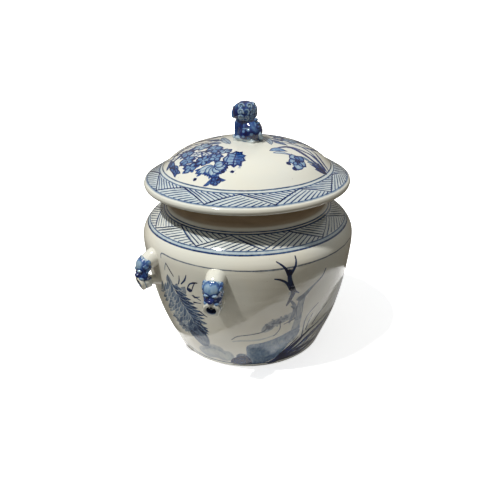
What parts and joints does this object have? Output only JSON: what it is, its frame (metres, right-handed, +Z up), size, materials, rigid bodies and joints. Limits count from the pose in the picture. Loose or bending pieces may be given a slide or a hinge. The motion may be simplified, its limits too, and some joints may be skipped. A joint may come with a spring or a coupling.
{
  "type": "lidded rice bowl",
  "caption": "Squat blue-and-white porcelain rice bowl with a short neck, lion-mask lugs in two pairs, and a domed lid with a seated-lion knob.",
  "frame": {"origin": "centre of the foot ring's contact plane, on the surface the bowl stands on", "axes": "+Z up along the bowl's axis; the lug pairs are on -X and +X; -Y is the side with the landscape painting; the knob's lion sits with its back to the -X, -Y side"},
  "size_m": [0.2226, 0.2016, 0.2344],
  "materials": {
    "painted_glaze": "gloss",
    "clear_glaze": "gloss",
    "cobalt_glaze": "gloss",
    "bare_porcelain": "matte"
  },
  "bodies": {
    "jar": {"jar_body": "painted_glaze", "lug_loop_1": "clear_glaze", "lug_loop_2": "clear_glaze", "lug_loop_3": "clear_glaze", "lug_loop_4": "clear_glaze", "lion_mask_1": "cobalt_glaze", "lion_mask_2": "cobalt_glaze", "lion_mask_3": "cobalt_glaze", "lion_mask_4": "cobalt_glaze"},
    "lid": {"lid_shell": "painted_glaze", "lid_flange": "bare_porcelain", "lion_knob": "cobalt_glaze"}
  },
  "joints": [
    {"name": "lid_lift", "type": "slide", "parent": "jar", "child": "lid", "axis": [0, 0, 1], "range_m": [0, 0.12]}
  ]
}
